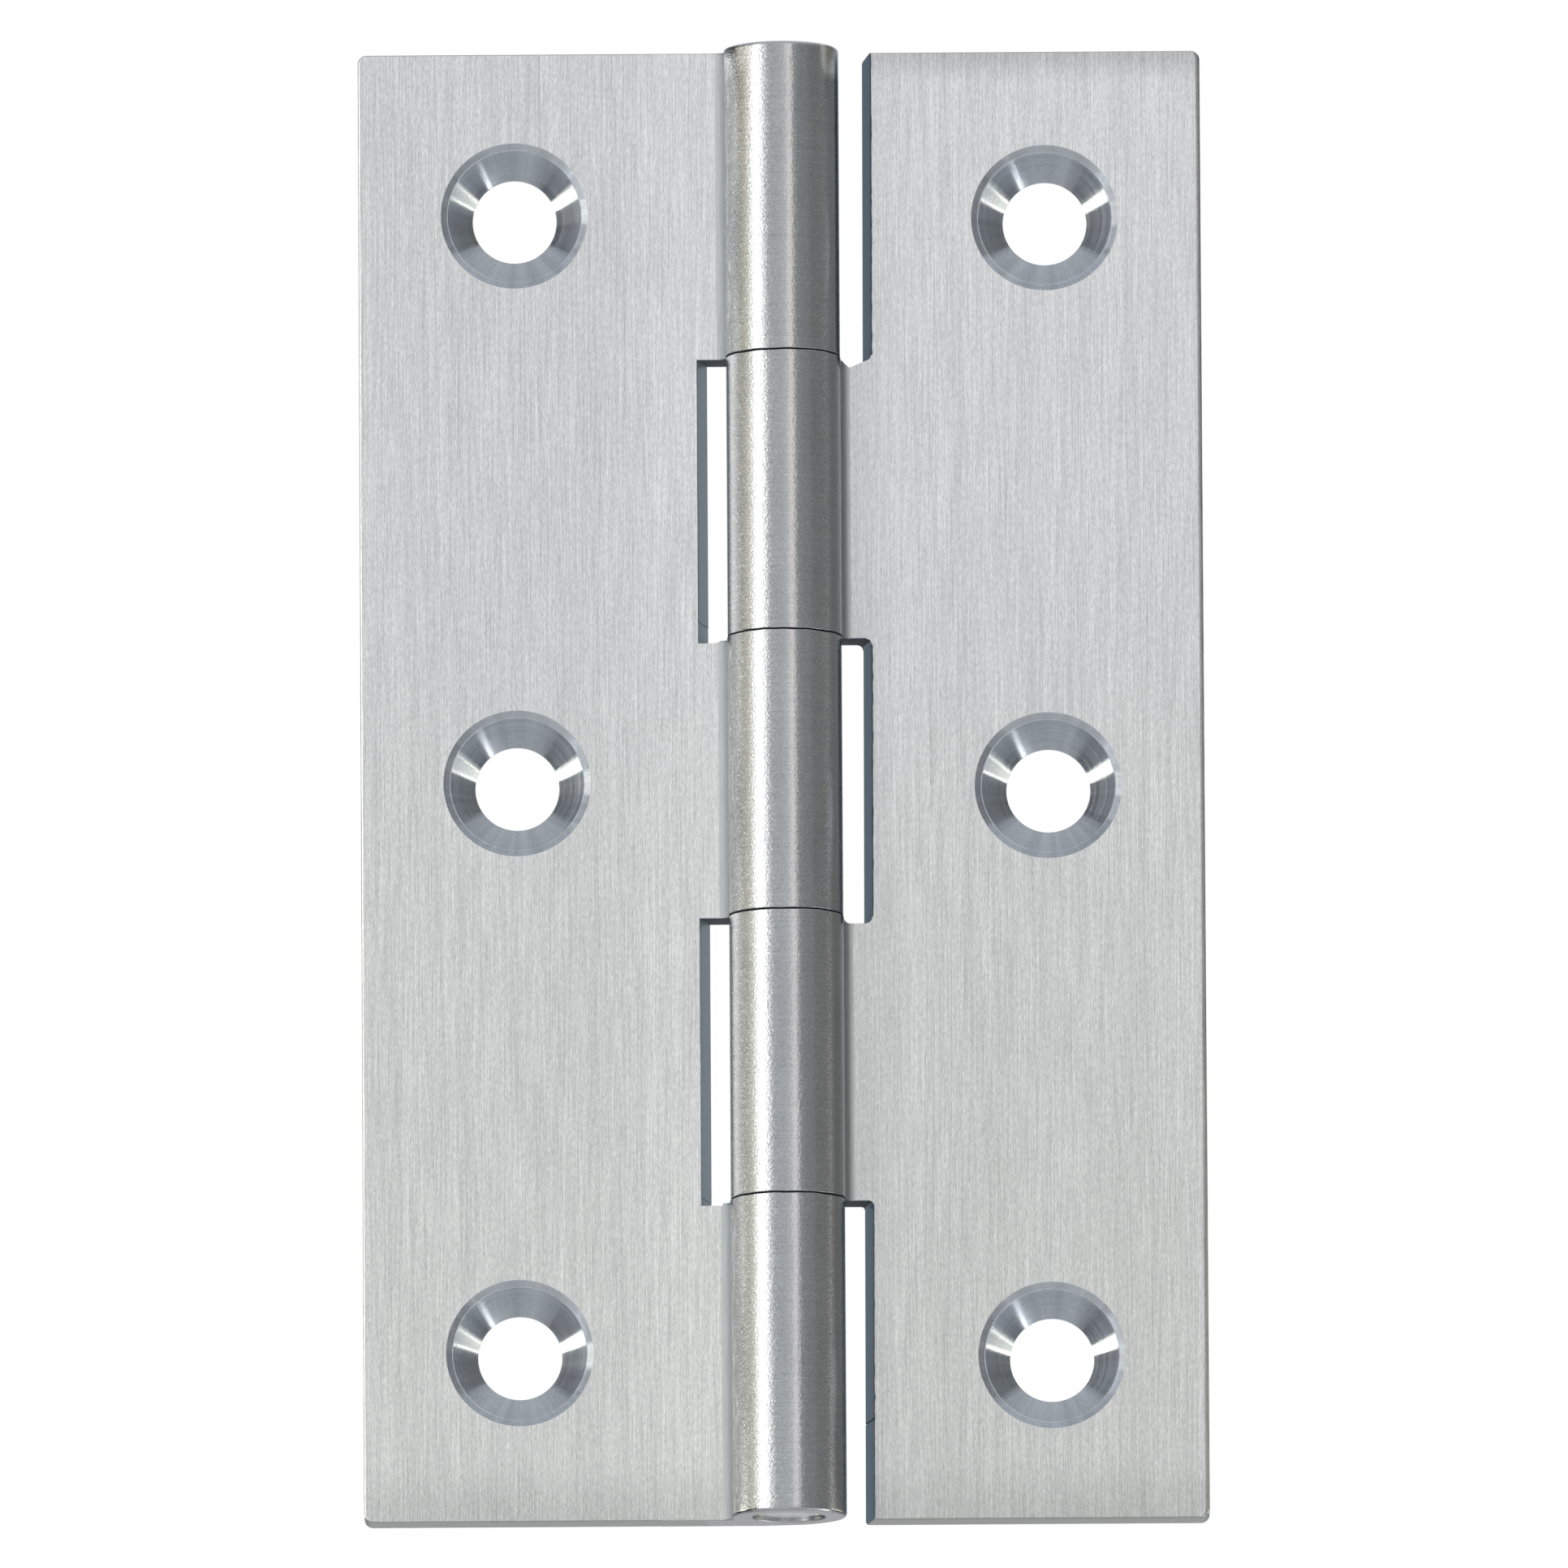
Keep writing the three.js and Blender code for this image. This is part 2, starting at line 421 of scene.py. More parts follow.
def plate(leaf):
    """The flat leaf from its leaning slot wall to its free edge, rounded along every edge."""
    rings = []
    for step in range(ROUND_STEPS + 1):
        angle = QUARTER * step / ROUND_STEPS
        depth = LEAF_FRONT + leaf.edge_round * (1 - math.cos(angle))
        rings.append(plate_ring(leaf, 1 - math.sin(angle), depth))
    for step in range(ROUND_STEPS, -1, -1):
        angle = QUARTER * step / ROUND_STEPS
        depth = LEAF_BACK - ROUND_BACK * (1 - math.cos(angle))
        rings.append(plate_ring(leaf, 1 - math.sin(angle), depth))
    bm = bmesh.new()
    add_loft(bm, rings)
    return mesh_object(bm, leaf.name + "_shaped")


def screw_hole_cutters(leaf):
    """Three turned solids: the stepped rim, the cone and the through hole, with broken edges."""
    bm = bmesh.new()
    cone_start = HEAD_RADIUS - RIM_WIDTH
    profile = [
        (0, LEAF_FRONT - CUT_OVERRUN),
        (HEAD_RADIUS + CUT_OVERRUN, LEAF_FRONT - CUT_OVERRUN),
        (HEAD_RADIUS + RIM_BREAK, LEAF_FRONT - RIM_BREAK / 3),
        (HEAD_RADIUS, LEAF_FRONT + RIM_BREAK / 2),
        (cone_start + RIM_LAND, LEAF_FRONT + RIM_DEPTH),
        (cone_start, LEAF_FRONT + RIM_DEPTH + RIM_LAND / 8),
        (HOLE_RADIUS, LEAF_FRONT + COUNTERSINK_DEPTH),
        (HOLE_RADIUS, LEAF_BACK - HOLE_BREAK),
        (HOLE_RADIUS + CUT_OVERRUN + HOLE_BREAK, LEAF_BACK + CUT_OVERRUN),
        (0, LEAF_BACK + CUT_OVERRUN),
    ]
    for height in leaf.hole_heights:
        add_lathe(bm, profile, HOLE_STEPS, lambda u, v, w, z=height: (leaf.hole_x + u, w, z + v))
    return mesh_object(bm, "screw_holes")


def bore_cutter():
    """The pin's bore through the whole barrel, flared a little at both mouths."""
    end = TOP + CUT_OVERRUN
    mouth = BORE_RADIUS + CUT_OVERRUN + BORE_BREAK
    neck = TOP - BORE_BREAK
    profile = [(0, -end), (mouth, -end), (BORE_RADIUS, -neck), (BORE_RADIUS, neck), (mouth, end), (0, end)]
    bm = bmesh.new()
    add_lathe(bm, profile, HOLE_STEPS, along_pin)
    return mesh_object(bm, "bore")


def slab(bm, leaf, plan, low_y=LEAF_FRONT, high_y=LEAF_BACK):
    """Adds a solid with an outline in X and Z that leans with the slot's wall."""
    rings = []
    for depth in (low_y, high_y):
        slide = leaf.lean * (depth - LEAF_FRONT)
        rings.append([(leaf.side * (x + slide + leaf.wall_tilt * z), depth, z) for x, z in plan])
    add_loft(bm, rings)


def corner_web(leaf, end, way, radius):
    """Outline of the metal left in the inner corner where a tab's end meets the slot's wall."""
    wall = leaf.wall_front
    centre_x = wall - radius
    plan = [(x, end + way * z) for x, z in arc(centre_x, radius, radius, -QUARTER, 0, CORNER_STEPS)]
    plan.append((wall + WEB_ROOT, end + way * radius))
    plan.append((wall + WEB_ROOT, end - way * WEB_ROOT))
    plan.append((centre_x, end - way * WEB_ROOT))
    return plan


def two_leaf_webs():
    """The punch's rounded corners in the +X leaf's slots: (tab end, way out of the tab, radius)."""
    bm = bmesh.new()
    upper_tab, lower_tab = [knuckle_ends(knuckle) for knuckle in own_knuckles(TWO_LEAF)]
    corners = (
        (upper_tab[1], 1, WEB_RADIUS),
        (upper_tab[0], -1, WEB_RADIUS),
        (lower_tab[1] - U_DIP, 1, U_RADIUS),
        (lower_tab[0], -1, LOW_WEB_RADIUS),
    )
    for end, way, radius in corners:
        slab(bm, TWO_LEAF, corner_web(TWO_LEAF, end, way, radius))
    return mesh_object(bm, "corner_webs")


def two_leaf_dips():
    """The +X leaf's dips, where the punch cut deeper than the knuckle's end, and the nick below them."""
    bm = bmesh.new()
    upper_tab, lower_tab = [knuckle_ends(knuckle) for knuckle in own_knuckles(TWO_LEAF)]
    wall = TWO_LEAF.wall_front
    top = upper_tab[1]
    slant = [
        (V_START, top + V_MOUTH),
        (V_FLOOR, top - V_DIP),
        (wall - V_MOUTH, top + V_RISE),
        (wall - V_LIP, top + V_MOUTH),
    ]
    slab(bm, TWO_LEAF, slant, -CUT_OVERRUN, LEAF_BACK + CUT_OVERRUN)
    top = lower_tab[1]
    floor = top - U_DIP
    round_end = arc(
        U_START + U_RADIUS, floor + U_RADIUS, U_RADIUS, math.pi, math.pi + QUARTER, CORNER_STEPS
    )
    dip = [(U_START, top + CUT_OVERRUN), *round_end, (wall, floor), (wall, top + CUT_OVERRUN)]
    slab(bm, TWO_LEAF, dip, -CUT_OVERRUN, LEAF_BACK + CUT_OVERRUN)
    mouth = wall - NICK_DEPTH
    nick = [
        (mouth, NICK_HEIGHT - NICK_DEPTH),
        (wall + NICK_DEPTH, NICK_HEIGHT),
        (mouth, NICK_HEIGHT + NICK_DEPTH),
    ]
    slab(bm, TWO_LEAF, nick, LEAF_FRONT - CUT_OVERRUN, LEAF_BACK + CUT_OVERRUN)
    return mesh_object(bm, "dips")


def three_leaf_dips():
    """The rounded ramp at the foot of the -X leaf's upper slot, and a shallow one in its lower slot.

    They run a little past the ragged wall, because a cut that ends on it would tear the mesh.
    """
    bm = bmesh.new()
    wall = THREE_LEAF.wall_front + RAGGED_CLEARANCE * THREE_LEAF.raggedness
    middle_top = knuckle_ends(2)[1]
    low_top = knuckle_ends(LAST_KNUCKLE)[1]
    floor = middle_top - RAMP_DIP
    ramp = arc(
        RAMP_START + RAMP_RADIUS, floor + RAMP_RADIUS, RAMP_RADIUS, math.pi, math.pi + QUARTER, CORNER_STEPS
    )
    plan = [(RAMP_START, middle_top + CUT_OVERRUN), *ramp, (wall, floor), (wall, middle_top + CUT_OVERRUN)]
    slab(bm, THREE_LEAF, plan, -CUT_OVERRUN, LEAF_BACK + CUT_OVERRUN)
    floor = low_top - RAMP_DIP
    mouth = low_top + LOW_RAMP_MOUTH
    plan = [(LOW_RAMP_START, mouth), (LOW_RAMP_FLOOR, floor), (wall, floor), (wall, mouth)]
    slab(bm, THREE_LEAF, plan, -CUT_OVERRUN, LEAF_BACK + CUT_OVERRUN)
    return mesh_object(bm, "dips")


def make_leaf(leaf):
    """A leaf with its knuckles in one piece, in Blender's metres."""
    solid = combine(plate(leaf), knuckles(leaf), "UNION")
    if leaf is TWO_LEAF:
        solid = combine(solid, two_leaf_dips(), "DIFFERENCE")
        solid = combine(solid, two_leaf_webs(), "UNION")
    else:
        solid = combine(solid, three_leaf_dips(), "DIFFERENCE")
    solid = combine(solid, screw_hole_cutters(leaf), "DIFFERENCE")
    solid = combine(solid, bore_cutter(), "DIFFERENCE")
    shade_smooth(solid.data)
    solid.data.set_sharp_from_angle(angle=SHARP_ANGLE)
    even = solid.modifiers.new("even_shading", "WEIGHTED_NORMAL")
    even.keep_sharp = True
    mesh = baked(solid, leaf.name + "_shaped")
    mesh.transform(Matrix.Scale(MM, 4))
    return in_scene(leaf.name + "_shaped", mesh)


# ---------------------------------------------------------------- the pin
PIN_EDGE = 0.18
PIN_DOME = 0.06
CROWN_SHARE = 0.7  # where the crown's slope steepens, as a share of the pin's radius


def make_pin():
    """A ground rod with slightly crowned, rounded ends."""
    crown = [(0, PIN_END), (CROWN_SHARE * PIN_RADIUS, PIN_END - PIN_DOME / 2)]
    shoulder = arc(PIN_RADIUS - PIN_EDGE, PIN_END - PIN_DOME - PIN_EDGE, PIN_EDGE, QUARTER, 0, CORNER_STEPS)
    upper = crown + shoulder
    lower = [(radius, -height) for radius, height in reversed(upper)]
    bm = bmesh.new()
    add_lathe(bm, upper + lower, HOLE_STEPS, along_pin)
    obj = mesh_object(bm, "hinge_pin_shaped")
    obj.data.transform(Matrix.Scale(MM, 4))
    shade_smooth(obj.data)
    return obj


# ---------------------------------------------------------------- materials
FACE_GREEN = (0.748, 0.759, 0.738)
FACE_PINK = (0.755, 0.758, 0.745)
FACE_BLUE = (0.773, 0.778, 0.809)
X_WAY = (1, 0, 0)
Y_WAY = (0, 1, 0)
Z_WAY = (0, 0, 1)

# Noise repeats its rhythm along its own axes, so it is turned away from the piece's axes.
NOISE_TURN = (0.35, 0.6, 0.2)
FADE_REACH = 30  # how far above and below the middle the faces' slow fades run


class Finish:
    """A procedural metal: a Principled shader and short calls that put nodes in front of it."""

    def __init__(self, name, roughness, anisotropy, coarse_way):
        self.material = bpy.data.materials.new(name)
        self.material.use_nodes = True
        self.tree = self.material.node_tree
        self.shader = self.tree.nodes["Principled BSDF"]
        self.shader.inputs["Metallic"].default_value = 1
        self.shader.inputs["Roughness"].default_value = roughness
        self.shader.inputs["Anisotropic"].default_value = anisotropy
        self.place = self.node("ShaderNodeTexCoord").outputs["Object"]
        if coarse_way:
            self.link(self.object_vector(coarse_way), self.shader.inputs["Tangent"])

    def node(self, kind, **settings):
        made = self.tree.nodes.new(kind)
        for key, value in settings.items():
            setattr(made, key, value)
        return made

    def link(self, output, socket):
        self.tree.links.new(output, socket)

    def object_vector(self, way):
        """A direction fixed to the piece, so that the grain turns with it."""
        fixed = self.node("ShaderNodeCombineXYZ")
        for socket, value in zip(fixed.inputs, way):
            socket.default_value = value
        turned = self.node("ShaderNodeVectorTransform", vector_type="VECTOR")
        turned.convert_from = "OBJECT"
        turned.convert_to = "WORLD"
        self.link(fixed.outputs["Vector"], turned.inputs["Vector"])
        return turned.outputs["Vector"]

    def math(self, operation, first, second, third=None):
        """One sum of sockets and numbers."""
        made = self.node("ShaderNodeMath", operation=operation)
        for socket, value in zip(made.inputs, (first, second, third)):
            if isinstance(value, bpy.types.NodeSocket):
                self.link(value, socket)
            elif value is not None:
                socket.default_value = value
        return made.outputs["Value"]

    def product(self, first, *others):
        """All the factors multiplied together."""
        for other in others:
            first = self.math("MULTIPLY", first, other)
        return first

    def noise(self, vector, scale, detail, rough):
        made = self.node("ShaderNodeTexNoise")
        made.inputs["Scale"].default_value = scale
        made.inputs["Detail"].default_value = detail
        made.inputs["Roughness"].default_value = rough
        self.link(vector, made.inputs["Vector"])
        return made.outputs["Fac"]

    def grain(self, size, detail=2.0, rough=0.5):
        """Noise from 0 to 1 whose grains are size (x, y, z) millimetres across."""
        stretch = self.node("ShaderNodeMapping")
        stretch.inputs["Scale"].default_value = [1 / (length * MM) for length in size]
        stretch.inputs["Rotation"].default_value = NOISE_TURN
        self.link(self.place, stretch.inputs["Vector"])
        return self.noise(stretch.outputs["Vector"], 1, detail, rough)

    def around_nearest_hole(self):
        """A point on a unit circle around the nearest screw hole's axis.

        Its depth is the hole's height, which tells the holes apart.
        """
        reach = self.math("ABSOLUTE", self.coordinate("X"), 0)
        height = self.coordinate("Z")
        from_row = self.math("WRAP", height, HOLE_PITCH / 2, -HOLE_PITCH / 2)
        flat = self.node("ShaderNodeCombineXYZ")
        self.link(self.math("SUBTRACT", reach, HOLE_X), flat.inputs["X"])
        self.link(from_row, flat.inputs["Y"])
        unit = self.node("ShaderNodeVectorMath", operation="NORMALIZE")
        self.link(flat.outputs["Vector"], unit.inputs[0])
        row = self.node("ShaderNodeCombineXYZ")
        self.link(self.math("SUBTRACT", height, from_row), row.inputs["Z"])
        placed = self.node("ShaderNodeVectorMath", operation="ADD")
        self.link(unit.outputs["Vector"], placed.inputs[0])
        self.link(row.outputs["Vector"], placed.inputs[1])
        return placed.outputs["Vector"]

    def rescale(self, value, from_low, from_high, to_low, to_high, smooth=True):
        made = self.node("ShaderNodeMapRange")
        made.interpolation_type = "SMOOTHSTEP" if smooth else "LINEAR"
        self.link(value, made.inputs["Value"])
        names = ("From Min", "From Max", "To Min", "To Max")
        for socket, number in zip(names, (from_low, from_high, to_low, to_high)):
            made.inputs[socket].default_value = number
        return made.outputs["Result"]

    def uneven(self, grain, amount, low=0.25):
        """A factor that strays from 1 by up to amount with the grain, whose noise runs low to 1 - low."""
        return self.rescale(grain, low, 1 - low, 1 - amount, 1 + amount, smooth=False)

    def coordinate(self, axis):
        """The object's own X, Y or Z in millimetres."""
        split = self.node("ShaderNodeSeparateXYZ")
        self.link(self.place, split.inputs["Vector"])
        return self.product(split.outputs[axis], 1 / MM)

    def blend(self, share, first, second):
        """A colour between two colours or colour sockets."""
        mix = self.node("ShaderNodeMix", data_type="RGBA")
        colours = [socket for socket in mix.inputs if socket.type == "RGBA"]
        for socket, value in zip(colours, (first, second)):
            if isinstance(value, bpy.types.NodeSocket):
                self.link(value, socket)
            else:
                socket.default_value = (*value, 1)
        self.link(share, mix.inputs["Factor"])
        return next(socket for socket in mix.outputs if socket.type == "RGBA")

    def dim(self, colour, amount):
        """The colour socket multiplied by a number socket."""
        scaled = self.node("ShaderNodeVectorMath", operation="SCALE")
        self.link(colour, scaled.inputs[0])
        self.link(amount, scaled.inputs["Scale"])
        return scaled.outputs["Vector"]

    def paint(self, colour):
        self.link(colour, self.shader.inputs["Base Color"])

    def vary_roughness(self, value, low, high):
        self.link(self.rescale(value, 0.3, 0.7, low, high), self.shader.inputs["Roughness"])

    def bump(self, height, strength, distance_mm):
        made = self.node("ShaderNodeBump")
        made.inputs["Strength"].default_value = strength
        made.inputs["Distance"].default_value = distance_mm * MM
        self.link(height, made.inputs["Height"])
        self.link(made.outputs["Normal"], self.shader.inputs["Normal"])


def brushed_face():
    """The leaves' flat faces: satin steel brushed along the pin.

    Painted shade darkens them towards the foot and along the +X leaf's top. Painted light brightens them
    beside the slots, and painted glints fleck them near the foot.
    """
    finish = Finish("brushed_face", 0.36, 0.6, X_WAY)
    height = finish.coordinate("Z")
    across = finish.coordinate("X")
    on_right = finish.rescale(across, -1, 1, 0, 1)

    bands = finish.grain((4, 9, 160), 1, 0.4)
    base = finish.blend(bands, FACE_GREEN, FACE_PINK)
    bluer_up = finish.rescale(height, -FADE_REACH, FADE_REACH, 0, 0.5)
    base = finish.blend(bluer_up, base, FACE_BLUE)

    lines = finish.grain((0.05, 1, 4.5), 3, 0.65)
    ticks = finish.grain((0.05, 1, 0.25), 2, 0.5)
    strokes = finish.grain((0.6, 4, 22), 2, 0.5)
    # Painted shade: the faces darken towards the foot.
    painted_shade_foot = finish.rescale(height, -TOP, -TOP + 3.5, 0.84, 1)
    # Painted light: the faces are brighter beside the slots and the barrel.
    painted_light_by_slots = finish.rescale(finish.math("ABSOLUTE", across, 0), 5.5, 9, 1.065, 1)
    # Painted shade: the +X leaf's face darkens towards its top edge.
    painted_top_shade = finish.product(finish.rescale(height, TOP - 1.8, TOP, 0, 0.24), on_right)
    right_height = finish.product(height, on_right)
    brighter_up = finish.rescale(right_height, -FADE_REACH, FADE_REACH, 0.955, 1.045, smooth=False)
    shade = finish.product(
        finish.uneven(lines, 0.25),
        finish.uneven(ticks, 0.19),
        finish.rescale(strokes, 0.3, 0.7, 0.97, 1.03),
        painted_shade_foot,
        painted_light_by_slots,
        finish.math("SUBTRACT", 1, painted_top_shade),
        brighter_up,
    )
    # Painted glints: bright grains added to the colour near the foot.
    painted_foot_glints = finish.rescale(finish.grain((0.07, 0.07, 0.07), 1, 0.5), 0.66, 0.74, 0, 0.35)
    near_foot = finish.rescale(height, -TOP, -TOP + 1.6, 1, 0)
    shade = finish.math("MULTIPLY_ADD", painted_foot_glints, near_foot, shade)

    finish.paint(finish.dim(base, shade))
    finish.vary_roughness(lines, 0.33, 0.4)
    finish.bump(lines, 0.3, 0.004)
    return finish.material


def sheared_edge():
    """Outer edges and end strips: cut, then lightly brushed."""
    finish = Finish("sheared_edge", 0.45, 0.5, Y_WAY)
    grain = finish.grain((0.12, 0.4, 1.2), 3, 0.6)
    finish.paint(finish.blend(grain, (0.36, 0.36, 0.37), (0.6, 0.6, 0.6)))
    finish.vary_roughness(grain, 0.38, 0.55)
    finish.bump(grain, 0.4, 0.006)
    return finish.material


def root_blend():
    """The fillets between leaf and knuckles, streaked by the forming tool and running out into the face.

    They are painted darker than the face, as the shade in the crease.
    """
    finish = Finish("root_blend", 0.55, 0.4, X_WAY)
    streaks = finish.grain((0.08, 0.1, 1.6), 3, 0.65)
    reach = finish.math("ABSOLUTE", finish.coordinate("X"), 0)
    into_face = finish.rescale(reach, 3.1, 3.45, 0, 1)
    # Painted shade: the fillet is darker than the face, as the shade in the crease.
    painted_root_shade = finish.blend(streaks, (0.29, 0.31, 0.325), (0.47, 0.495, 0.51))
    finish.paint(finish.blend(into_face, painted_root_shade, FACE_PINK))
    finish.vary_roughness(streaks, 0.48, 0.62)
    finish.bump(streaks, 0.5, 0.008)
    return finish.material


def slot_wall(name, dark, light):
    """The sides of the slots: blue from the heat of the cut, with their lightness painted as the slots'
    shade and light.
    """
    finish = Finish(name, 0.34, 0.3, Z_WAY)
    grain = finish.grain((0.3, 0.8, 0.16), 3, 0.6)
    finish.paint(finish.blend(grain, dark, light))
    finish.vary_roughness(grain, 0.3, 0.4)
    finish.bump(grain, 0.3, 0.005)
    return finish.material


def slot_end():
    """The ends of the slots and of the tabs between them: dull, and painted dark as the shade under the
    tabs.
    """
    finish = Finish("slot_end", 0.7, 0, None)
    finish.shader.inputs["Metallic"].default_value = 0
    finish.shader.inputs["Specular IOR Level"].default_value = 0.1
    grain = finish.grain((0.3, 0.8, 0.16), 3, 0.6)
    finish.paint(finish.blend(grain, (0.06, 0.07, 0.085), (0.14, 0.155, 0.175)))
    finish.bump(grain, 0.3, 0.005)
    return finish.material


def turned_barrel(name, left_shade, edge_shade, root_glint_strength):
    """The rolled knuckles: fine rings around the pin under a peened, slightly pitted skin.

    Painted shade runs down the -X side. From there to the edge the skin is multiplied by edge_shade,
    painted shade below 1 and painted light above it, and has painted glints in it. The +X side is painted
    darker towards its edge, painted glints fleck the -X half, and both sides are painted brighter at the
    top. Places across are millimetres from the pin's axis.
    """
    finish = Finish(name, 0.22, 0.8, Z_WAY)
    across = finish.coordinate("X")
    rings = finish.grain((5, 5, 0.05), 3, 0.6)
    pits = finish.grain((0.11, 0.11, 0.11), 2, 0.65)
    dents = finish.grain((0.2, 0.2, 0.6), 2, 0.6)
    clouds = finish.grain((1.2, 1.2, 3), 2, 0.5)
    base = finish.blend(clouds, (0.475, 0.485, 0.49), (0.565, 0.57, 0.58))

    speckle = finish.rescale(across, -0.7, 0.1, 1.0, 0.6)
    speckle = finish.product(speckle, finish.rescale(across, -2.4, -1.8, 1.5, 1))
    speckled = finish.math("MULTIPLY_ADD", finish.math("SUBTRACT", pits, 0.5), speckle, 1)
    # Painted shade: a darker band down the barrel's -X side.
    painted_left_shade = finish.rescale(across, -2.2, -1.75, left_shade, 1)
    # Painted shade where edge_shade is below 1, painted light where it is above 1.
    left_edge = finish.rescale(across, -2.65, -2.25, edge_shade, 1)
    # Painted shade: the barrel darkens towards its +X edge.
    painted_right_shade = finish.rescale(across, 2.0, 2.85, 1, 0.6)
    shade = finish.product(finish.uneven(rings, 0.1), speckled, painted_left_shade, left_edge, painted_right_shade)

    # Painted glints: bright streaks added to the colour along the barrel's -X root.
    painted_root_glints = finish.rescale(finish.grain((0.05, 0.05, 1.1), 2, 0.6), 0.57, 0.64, 0, root_glint_strength)
    at_root = finish.rescale(across, -2.8, -2.45, 1, 0)
    shade = finish.math("MULTIPLY_ADD", painted_root_glints, at_root, shade)
    # Painted glints: bright flecks added to the colour on the highlight's -X flank.
    painted_flank_glints = finish.rescale(finish.grain((0.1, 0.1, 0.1), 1, 0.5), 0.6, 0.72, 0, 0.6)
    on_left = finish.rescale(across, -1.1, -0.6, 1, 0)
    shade = finish.math("MULTIPLY_ADD", painted_flank_glints, on_left, shade)

    # Painted highlight: both sides of the barrel are made brighter near its top.
    left_side = finish.rescale(across, -2.7, -1.5, 1.4, 0)
    right_side = finish.rescale(across, 1.95, 2.6, 0, 4)
    sides = finish.math("ADD", left_side, right_side)
    near_top = finish.rescale(finish.coordinate("Z"), TOP - 2, TOP - 0.6, 0, 1)
    painted_top_light = finish.product(near_top, sides)
    shade = finish.math("MULTIPLY_ADD", shade, painted_top_light, shade)

    finish.paint(finish.dim(base, shade))
    finish.vary_roughness(pits, 0.15, 0.28)
    peened = finish.product(pits, finish.rescale(across, -0.8, -0.2, 1.3, 0.6))
    relief = finish.math("MULTIPLY_ADD", rings, 0.15, peened)
    finish.bump(finish.math("MULTIPLY_ADD", dents, 0.3, relief), 1, 0.014)
    return finish.material


def turned_countersink():
    """The countersinks, with the drill's rings left in them and its chatter marks running down the cone."""
    finish = Finish("turned_countersink", 0.24, 1, Y_WAY)
    rings = finish.grain((40, 0.2, 40), 4, 0.6)
    specks = finish.grain((0.07, 0.07, 0.07), 1, 0.5)
    chatter = finish.noise(finish.around_nearest_hole(), 6, 2, 0.5)
    base = finish.blend(rings, (0.47, 0.505, 0.55), (0.62, 0.655, 0.705))
    shade = finish.product(finish.uneven(chatter, 0.1, low=0.3), finish.uneven(specks, 0.12, low=0.3))
    finish.paint(finish.dim(base, shade))
    finish.vary_roughness(rings, 0.21, 0.27)
    relief = finish.math("MULTIPLY_ADD", chatter, 1, finish.product(rings, 0.6))
    finish.bump(finish.math("MULTIPLY_ADD", specks, 0.12, relief), 0.6, 0.012)
    return finish.material


def ground_end(name, dark, light):
    """The barrel's ends and the pin's ends. The upper ones are painted brighter, a painted highlight."""
    finish = Finish(name, 0.4, 0.2, X_WAY)
    grain = finish.grain((0.25, 0.25, 0.25), 4, 0.6)
    # Painted highlight: the upper ends are made brighter.
    painted_top_light = finish.rescale(finish.coordinate("Z"), -1, 1, 1, 1.6)
    finish.paint(finish.dim(finish.blend(grain, dark, light), painted_top_light))
    finish.vary_roughness(grain, 0.34, 0.48)
    finish.bump(grain, 0.3, 0.006)
    return finish.material


FINISHES = (
    brushed_face(),
    sheared_edge(),
    # The slot walls come as two painted copies: dark as shaded for the +X leaf, pale as lit for the -X
    # leaf.
    slot_wall("slot_wall", dark=(0.14, 0.21, 0.29), light=(0.26, 0.35, 0.44)),
    slot_wall("lit_slot_wall", dark=(0.42, 0.5, 0.57), light=(0.62, 0.68, 0.74)),
    # Both barrels carry painted shade, painted light and painted glints across them. The -X leaf's is
    # painted darker at its edge and has stronger painted glints.
    turned_barrel("turned_barrel", left_shade=0.66, edge_shade=1.4, root_glint_strength=0.3),
    turned_barrel("three_leaf_barrel", left_shade=0.8, edge_shade=0.52, root_glint_strength=1.1),
    turned_countersink(),
    ground_end("ground_end", dark=(0.42, 0.42, 0.46), light=(0.54, 0.535, 0.57)),
    root_blend(),
    slot_end(),
)
FACE, EDGE, WALL, LIT_WALL, BARREL, THREE_LEAF_BARREL, SINK, END, ROOT, SLOT_END = range(len(FINISHES))

# How squarely a polygon has to look along the pin, or out of the leaf, to count as an end or a face.
END_LOOK = 0.6
FACE_LOOK = 0.75
FLAT_LOOK = 0.998


def leaf_finish(leaf, centre, normal):
    """Which finish a polygon of a leaf has, from its place in millimetres and its direction."""
    across = leaf.side * centre.x
    from_pin = math.hypot(centre.x, centre.y)
    from_hole = min(math.hypot(centre.x - leaf.hole_x, centre.z - height) for height in leaf.hole_heights)
    between_faces = LEAF_FRONT + RIM_BREAK / 8 < centre.y < LEAF_BACK - HOLE_BREAK / 8
    if from_hole < HEAD_RADIUS + RIM_BREAK and between_faces:
        return SINK
    if abs(normal.z) > END_LOOK:
        if from_pin < BARREL_RADIUS + abs(leaf.knuckle_shift) and abs(centre.z) > TOP - ROUND_BARREL_TOP:
            return END
        return EDGE if abs(centre.z) > TOP - ROUND_BARREL_TOP else SLOT_END
    # The -X leaf's slot walls take the copy painted pale as lit, the +X leaf's the one painted dark as
    # shaded.
    wall = LIT_WALL if leaf is THREE_LEAF else WALL
    if across > leaf.wall_front - 2 * ROUND_SLOT or centre.y > LEAF_BACK - ROUND_BACK / 2:
        if abs(normal.y) > FACE_LOOK:
            return FACE
        return EDGE if across > leaf.wall_front + leaf.inner_top + ROUND_SLOT else wall
    root_start = leaf.knuckle_shift + BARREL_RADIUS * math.cos(math.atan2(LEAF_FRONT, BARREL_RADIUS))
    if across > root_start and centre.y > 0:
        if abs(normal.y) > FLAT_LOOK:
            return FACE
        return wall if centre.y > LEAF_FRONT else ROOT
    return THREE_LEAF_BARREL if leaf is THREE_LEAF else BARREL


